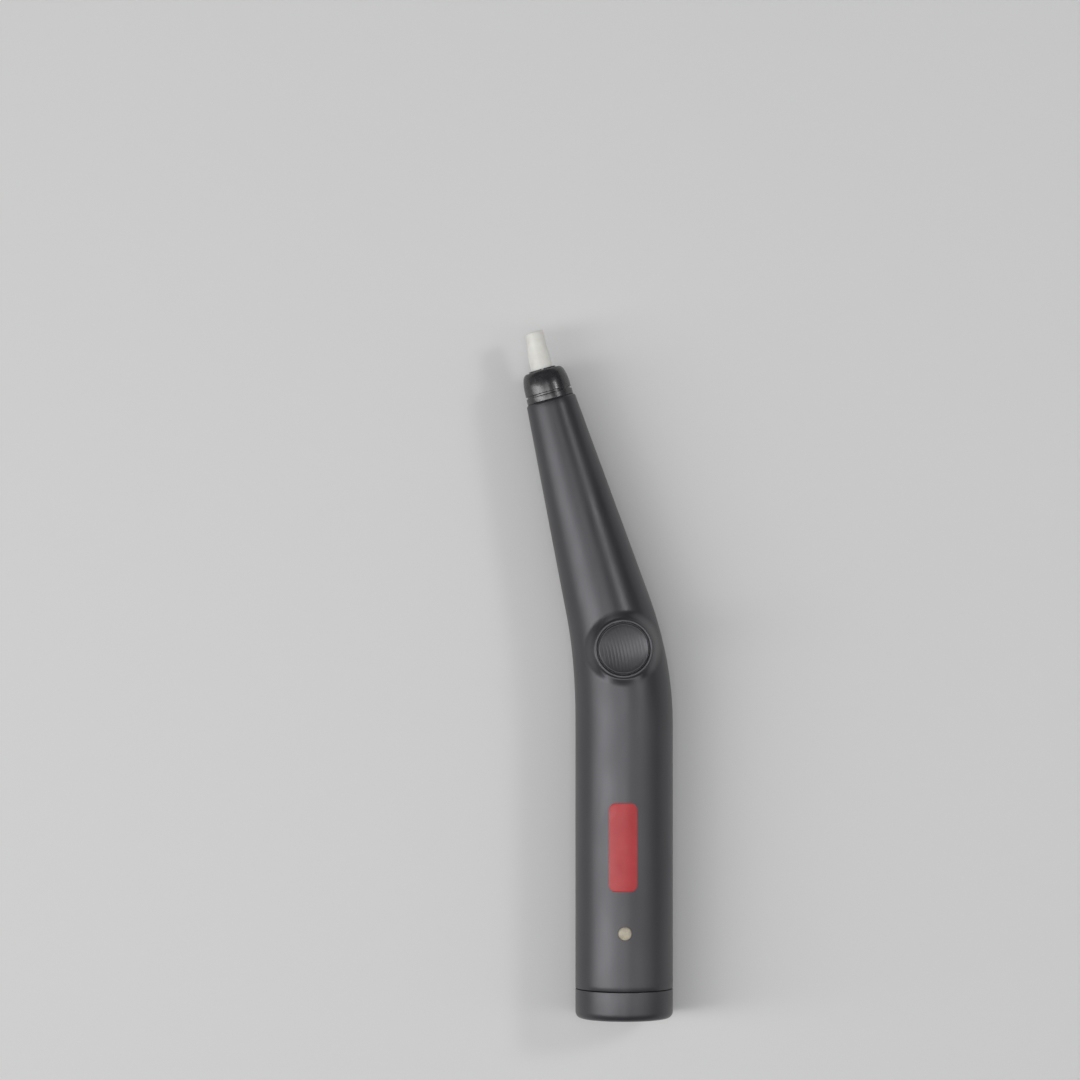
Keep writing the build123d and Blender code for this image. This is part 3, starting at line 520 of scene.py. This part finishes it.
def casing_half(name, upper, across_steps, material):
    """One casing half as a closed wall, with a fine gap at the parting line."""
    rows = casing_rows()
    half_gap = 0.03 * MM
    lowest_seat_sine = 0.2
    side = 1 if upper else -1
    loop = 2 * (across_steps + 1)
    verts = []
    for distance in rows:
        spot, turn, radius = spine(distance)
        radius -= edge_inset(distance)
        across = Vector((math.cos(turn), math.sin(turn), 0))
        for wall_radius, outside in ((radius, True), (radius - WALL, False)):
            for step in range(across_steps + 1):
                share = step / across_steps
                angle = math.pi * (share if outside else 1 - share)
                lift = half_gap if step in (0, across_steps) else 0
                point = spot + across * wall_radius * math.cos(angle)
                point.z += side * (wall_radius * math.sin(angle) + lift)
                if upper and outside and math.sin(angle) > lowest_seat_sine:
                    point.z = seat_height(point.x, point.y, point.z)
                verts.append(point)
    faces = ring_faces(len(rows), loop)
    last = (len(rows) - 1) * loop
    for step in range(across_steps):
        mirror = loop - 1 - step
        faces.append((step, step + 1, mirror - 1, mirror))
        faces.append((last + step, last + mirror, last + mirror - 1, last + step + 1))
    piece = new_object(name, verts, faces, material)
    soften_edges(piece, 50)
    return piece


def round_cutter(x, y, radius, low, high, segments=96):
    """A plain vertical cylinder used only to cut a hole."""
    profile = [(0, low), (radius, low), (radius, high), (0, high)]
    return lathe("cutter", profile, Matrix.Translation((x, y, 0)), MATERIALS["casing_plastic"], segments)


def make_front_casing():
    """The front half with its seat, button hole, the pocket for the button's flange, and light window."""
    piece = casing_half("front_casing", True, 220, MATERIALS["casing_plastic"])
    inside = HANDLE_Z + 2 * MM
    above = BUTTON_TOP + 5 * MM
    pocket_radius = BUTTON_RADIUS + 1.2 * MM
    pocket_top = SEAT_TOP - 1.5 * MM
    cut_away(piece, round_cutter(BUTTON_X, BUTTON_Y, BUTTON_HOLE, inside, above, 192))
    cut_away(piece, round_cutter(BUTTON_X, BUTTON_Y, pocket_radius, inside, pocket_top))
    cut_away(piece, round_cutter(PIPE_X, PIPE_Y, PIPE_RADIUS + PIPE_CLEARANCE, inside, above))
    soften_edges(piece, 50)
    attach(piece, "case")
    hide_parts("front_shell")
    return piece


def make_rear_casing():
    """The rear half with its two screw recesses."""
    piece = casing_half("rear_casing", False, 120, MATERIALS["casing_plastic"])
    low, high = node_corners("case_screws")
    middle = (low.x + high.x) / 2
    head = (high.x - low.x) / 2
    recess = head + 0.15 * MM
    for y in (low.y + head, high.y - head):
        cut_away(piece, round_cutter(middle, y, recess, -2 * MM, low.z + 3 * MM))
        make_screw_post(middle, y, head, low.z)
    soften_edges(piece, 50)
    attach(piece, "case")
    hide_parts("rear_shell")
    return piece


def make_screw_post(x, y, head, screw_low):
    """The rear half's tube round one screw, with a ledge for the screw's head."""
    recess = head + 0.15 * MM
    outer = head + 0.8 * MM
    shank_hole = 1.05 * MM
    bottom, top = 0.35 * MM, HANDLE_Z - 2 * MM
    ledge = screw_low + 1.3 * MM
    profile = [
        (recess, bottom),
        (outer, bottom),
        (outer, top),
        (shank_hole, top),
        (shank_hole, ledge),
        (recess, ledge),
        (recess, bottom),
    ]
    place = Matrix.Translation((x, y, 0))
    post = lathe("screw_post_rear", profile, place, MATERIALS["casing_plastic"], 64)
    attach(post, "case")
    return post


# ---------------------------------------------------------------- end cap, ring, refill


def make_end_cap():
    """The rounded cup at the charging end, with its port opening."""
    seam_gap = 0.15 * MM
    floor = 1.8 * MM
    end_round = 1.8 * MM
    length = CASING_START - seam_gap
    spigot_length = CAP_HIGH.y - END_Y
    spigot_outer = HANDLE_RADIUS - WALL - 0.02 * MM
    spigot_inner = spigot_outer - 1.0 * MM
    corners = [
        (0, 0, 0),
        (HANDLE_RADIUS, 0, end_round),
        (HANDLE_RADIUS, length, REAR_ROUND),
        (spigot_outer, length, 0),
        (spigot_outer, spigot_length, 0.15 * MM),
        (spigot_inner, spigot_length, 0.15 * MM),
        (spigot_inner, floor, 0.3 * MM),
        (0, floor, 0),
    ]
    profile = rounded_profile(corners, 8)
    piece = lathe("charging_end_cap", profile, ON_HANDLE, MATERIALS["casing_plastic"], 192)
    cut_away(piece, port_cutter())
    soften_edges(piece, 40)
    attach(piece, "case")
    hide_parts("end_cap")
    return piece


def port_cutter():
    """A rounded rectangular bar along Y used only to cut the charging socket's opening."""
    low, high = node_corners("usb_shell")
    middle = (low + high) / 2
    gap, corner, depth = 0.3 * MM, 0.9 * MM, 2.6 * MM
    half_width = (high.x - low.x) / 2 + gap
    half_height = (high.z - low.z) / 2 + gap
    outline = rounded_rectangle(half_width, half_height, corner, 7, half_width * 2)
    count = len(outline)
    verts = []
    for y in (END_Y - depth, END_Y + depth):
        verts += [(middle.x + spot.x, y, middle.z + spot.y) for spot in outline]
    faces = ring_faces(2, count)
    faces += [tuple(range(count)), tuple(range(2 * count - 1, count - 1, -1))]
    piece = new_object("port_cutter", verts, faces, MATERIALS["casing_plastic"])
    soften_edges(piece, 40)
    return piece


def make_nose_ring():
    """The dark ring: a lip at the seam, a fine groove, and a tapered rounded top."""
    back, lip_top, groove_top = 0.02 * MM, 1.42 * MM, 1.86 * MM
    shoulder, brow, front = 4.3 * MM, 6.3 * MM, 7.0 * MM
    groove_radius = RING_RADIUS - 0.35 * MM
    front_radius = 4.15 * MM
    mouth = 3.5 * MM
    bore = RING_RADIUS - 0.68 * MM
    bore_end = 4.1 * MM
    corners = [
        (bore, back, 0),
        (RING_RADIUS, back, 0.16 * MM),
        (RING_RADIUS, lip_top, 0.14 * MM),
        (groove_radius, lip_top, 0.05 * MM),
        (groove_radius, groove_top, 0.05 * MM),
        (RING_RADIUS - 0.03 * MM, groove_top, 0.14 * MM),
        (RING_RADIUS - 0.12 * MM, shoulder, 0.9 * MM),
        (RING_RADIUS - 0.62 * MM, brow, 0.55 * MM),
        (front_radius, front, 0.3 * MM),
        (mouth, front, 0.18 * MM),
        (mouth, bore_end, 0),
        (bore, bore_end, 0),
        (bore, back, 0),
    ]
    piece = lathe("nose_collar", rounded_profile(corners, 6), ON_NOSE, MATERIALS["ring_plastic"], 160)
    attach(piece, "case")
    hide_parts("nose_ring")
    return piece


def refill_profile(radius, back, tip):
    """The refill's outline, with points close enough together to be bent."""
    corners = [
        (0, back, 0),
        (radius, back, 0.1 * MM),
        (radius, tip - 1.0 * MM, 0),
        (radius - 0.02 * MM, tip, 0.42 * MM),
        (0, tip, 0),
    ]
    profile = rounded_profile(corners, 8)
    longest = 0.35 * MM
    fine = []
    for first, second in zip(profile[:-1], profile[1:]):
        pieces = max(1, int((second - first).length / longest))
        fine += [first.lerp(second, step / pieces) for step in range(pieces)]
    fine.append(profile[-1])
    return fine


def make_refill():
    """The white refill, its working end rubbed thinner on one side with a rounded edge."""
    radius, back, tip = 2.5 * MM, -9.0 * MM, 16.0 * MM
    rubbed, slanted = 8 * MM, 2 * MM
    profile = refill_profile(radius, back, tip)
    piece = lathe("eraser_stick", profile, Matrix.Identity(4), MATERIALS["eraser_vinyl"], 96)
    for vert in piece.data.vertices:
        spot = vert.co.copy()
        near_tip = smooth_share((spot.z - tip + rubbed) / (rubbed + 1 * MM))
        spot.x -= max(0.0, spot.x) * 0.34 * near_tip
        spot.y -= max(0.0, spot.y) * 0.10 * near_tip
        slant = max(0.0, spot.x) * 0.10 + max(0.0, -spot.y) * 0.12
        spot.z -= slant * smooth_share((spot.z - tip + slanted) / slanted)
        vert.co = ON_NOSE @ spot
    soften_edges(piece, 50)
    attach(piece, "refill")
    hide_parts("eraser_refill")
    return piece


# ---------------------------------------------------------------- button, badge, light pipe


def button_top_height(x, y):
    """Height of the button's face: a shallow round dish with fine, slightly bowed grip ribs."""
    edge_round = 0.24 * MM
    dish_radius, dish_depth = BUTTON_RADIUS - 0.2 * MM, 0.62 * MM
    rib_depth, rib_margin, rib_fade = 0.022 * MM, 0.3 * MM, 0.4 * MM
    reach = math.hypot(x, y)
    over = reach - (BUTTON_RADIUS - edge_round)
    height = 0.0
    if over > 0:
        height -= edge_round - math.sqrt(max(0.0, edge_round * edge_round - over * over))
    if reach < dish_radius:
        share = 1 - (reach / dish_radius) ** 2
        height -= dish_depth * share * smooth_share(share * 9)
        height -= rib_depth * button_rib(x, y) * smooth_share((dish_radius - rib_margin - reach) / rib_fade)
    return height


def button_rib(x, y):
    """How deep into a groove a place on the button's face lies, 0 on a rib and 1 in a groove."""
    pitch, bow_radius = 0.78 * MM, 30 * MM
    lean = TILT * 0.8
    along = y * math.cos(lean) - x * math.sin(lean)
    across = x * math.cos(lean) + y * math.sin(lean)
    bowed = across + along * along / (2 * bow_radius)
    wave = 0.5 + 0.5 * math.cos(2 * math.pi * bowed / pitch)
    return smooth_share(wave * 1.5 - 0.35)


def make_button():
    """The push button: its face on a fine polar grid, then its side, flange, hollow and stem."""
    rings, segments = 84, 360
    verts = [Vector((BUTTON_X, BUTTON_Y, BUTTON_TOP + button_top_height(0, 0)))]
    for ring in range(1, rings + 1):
        reach = BUTTON_RADIUS * (1 - (1 - ring / rings) ** 1.15)
        for x, y in circle(reach, segments):
            verts.append(Vector((BUTTON_X + x, BUTTON_Y + y, BUTTON_TOP + button_top_height(x, y))))
    low = BUTTON_LOW.z
    flange_top = low + 0.6 * MM
    hollow, ceiling = BUTTON_RADIUS - 1.15 * MM, BUTTON_TOP - 1.2 * MM
    stem = 1.5 * MM
    stem_low = node_corners("switch_plunger")[1].z + 0.05 * MM
    side = [
        (BUTTON_RADIUS, flange_top + 0.3 * MM),
        (BUTTON_RADIUS, flange_top),
        (FLANGE_RADIUS, flange_top),
        (FLANGE_RADIUS, low),
        (hollow, low),
        (hollow, ceiling),
        (stem, ceiling),
        (stem, stem_low),
    ]
    for reach, height in side:
        verts += [Vector((BUTTON_X + x, BUTTON_Y + y, height)) for x, y in circle(reach, segments)]
    total = rings + len(side)
    last = 1 + (total - 1) * segments
    faces = [(0, 1 + turn, 1 + (turn + 1) % segments) for turn in range(segments)]
    faces += ring_faces(total, segments, 1)
    faces.append(tuple(last + turn for turn in range(segments)))
    piece = new_object("push_button", verts, faces, MATERIALS["button_plastic"])
    soften_edges(piece, 50)
    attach(piece, "button")
    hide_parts("button_cap")
    return piece


def make_badge():
    """The plain red strip, a thin film with a rolled edge that follows the handle."""
    low, high = node_corners("red_badge")
    middle = (low + high) / 2
    half_width = (high.x - low.x) / 2
    half_length = (high.y - low.y) / 2
    outline = rounded_rectangle(half_width, half_length, 1.6 * MM, 9, 0.4 * MM)
    count = len(outline)
    thickness = 0.1 * MM
    edge = [(1.0, 0.0), (1.0, 0.055 * MM), (0.985, 0.09 * MM), (0.96, thickness)]
    slimness = 2.2 * half_width / half_length
    rings = [(shrink, 1 - (1 - shrink) * slimness, lift) for shrink, lift in edge]
    inner = [0.96 - 0.08 * step for step in range(1, 12)]
    rings += [(shrink, shrink, thickness) for shrink in inner]
    verts = []
    for shrink_across, shrink_along, lift in rings:
        radius = HANDLE_RADIUS + lift
        for spot in outline:
            across = spot.x * shrink_across + (middle.x - HANDLE_X)
            height = HANDLE_Z + math.sqrt(radius * radius - across * across)
            verts.append(Vector((HANDLE_X + across, middle.y + spot.y * shrink_along, height)))
    last = (len(rings) - 1) * count
    faces = ring_faces(len(rings), count)
    faces.append(tuple(last + step for step in range(count)))
    faces.append(tuple(range(count - 1, -1, -1)))
    piece = new_object("plain_red_badge", verts, faces, MATERIALS["badge_film"])
    soften_edges(piece, 40)
    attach(piece, "case")
    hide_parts("red_badge")
    return piece


def make_light_pipe():
    """The domed cream window of the indicator, on its flange."""
    low, high = PIPE_LOW.z, PIPE_HIGH.z
    flange_radius, flange_top = 2.1 * MM, low + 0.7 * MM
    corners = [
        (0, low, 0),
        (flange_radius, low, 0),
        (flange_radius, flange_top, 0),
        (PIPE_RADIUS, flange_top, 0),
        (PIPE_RADIUS, high - 0.14 * MM, 0.1 * MM),
        (PIPE_RADIUS * 0.72, high - 0.03 * MM, 0.3 * MM),
        (0, high, 0),
    ]
    place = Matrix.Translation((PIPE_X, PIPE_Y, 0))
    piece = lathe("indicator_window", rounded_profile(corners), place, MATERIALS["clear_plastic"], 64)
    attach(piece, "case")
    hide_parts("light_pipe")
    return piece


# ---------------------------------------------------------------- floor, light, camera


def make_stage():
    """A pale floor under the eraser, soft studio lights and a plain world."""
    size = 3.0
    floor = new_object(
        "floor",
        [(-size, -size, 0), (size, -size, 0), (size, size, 0), (-size, size, 0)],
        [(0, 1, 2, 3)],
        Shader("floor_paper", (0.73, 0.73, 0.725), 0.9).material,
    )
    world = bpy.data.worlds.new("studio")
    bpy.context.scene.world = world
    world.use_nodes = True
    background = world.node_tree.nodes["Background"]
    background.inputs["Color"].default_value = (0.88, 0.9, 0.94, 1)
    background.inputs["Strength"].default_value = 0.10
    add_panel_arch()
    add_light("window_glint", (0.78, 0.34, 0.90), 0.2, 0.2, 1.9)
    bpy.context.scene.view_settings.view_transform = "Standard"


def add_panel_arch():
    """An arch of soft panels over the eraser, brightest high on the left and fading to the right."""
    count, reach, length, along = 11, 1.2, 1.05, -0.12
    lowest_left = 0.25
    widest = math.radians(70)
    step = 2 * widest / (count - 1)
    width = 2 * reach * math.tan(step / 2)
    for number in range(count):
        lean = widest - number * step
        share = 1 - number / (count - 1)
        glow = 0.30 + 2.8 * share**1.45
        if number == 0:
            glow *= lowest_left
        place = (-reach * math.sin(lean), along, reach * math.cos(lean))
        add_light(f"panel_{number}", place, width, length, glow * math.pi * width * length)


def add_light(name, place, width, height, power):
    """A soft rectangular lamp aimed at the eraser."""
    data = bpy.data.lights.new(name, "AREA")
    data.shape = "RECTANGLE"
    data.size = width
    data.size_y = height
    data.energy = power
    lamp = bpy.data.objects.new(name, data)
    bpy.context.collection.objects.link(lamp)
    lamp.location = place
    lamp.rotation_euler = (-Vector(place)).to_track_quat("-Z", "Y").to_euler()


def make_camera():
    """Straight above, with the eraser right of the middle and low in the frame."""
    view_width = 248.3 * MM
    distance = 1.1
    data = bpy.data.cameras.new("camera")
    data.sensor_width = 36
    data.lens = data.sensor_width * distance / view_width
    camera = bpy.data.objects.new("camera", data)
    bpy.context.collection.objects.link(camera)
    camera.location = (-13.2 * MM, 30.8 * MM, distance + HANDLE_Z)
    bpy.context.scene.camera = camera


# ---------------------------------------------------------------- build everything

dress_cad_nodes()
make_front_casing()
make_rear_casing()
make_end_cap()
make_nose_ring()
make_refill()
make_button()
make_badge()
make_light_pipe()
make_stage()
make_camera()
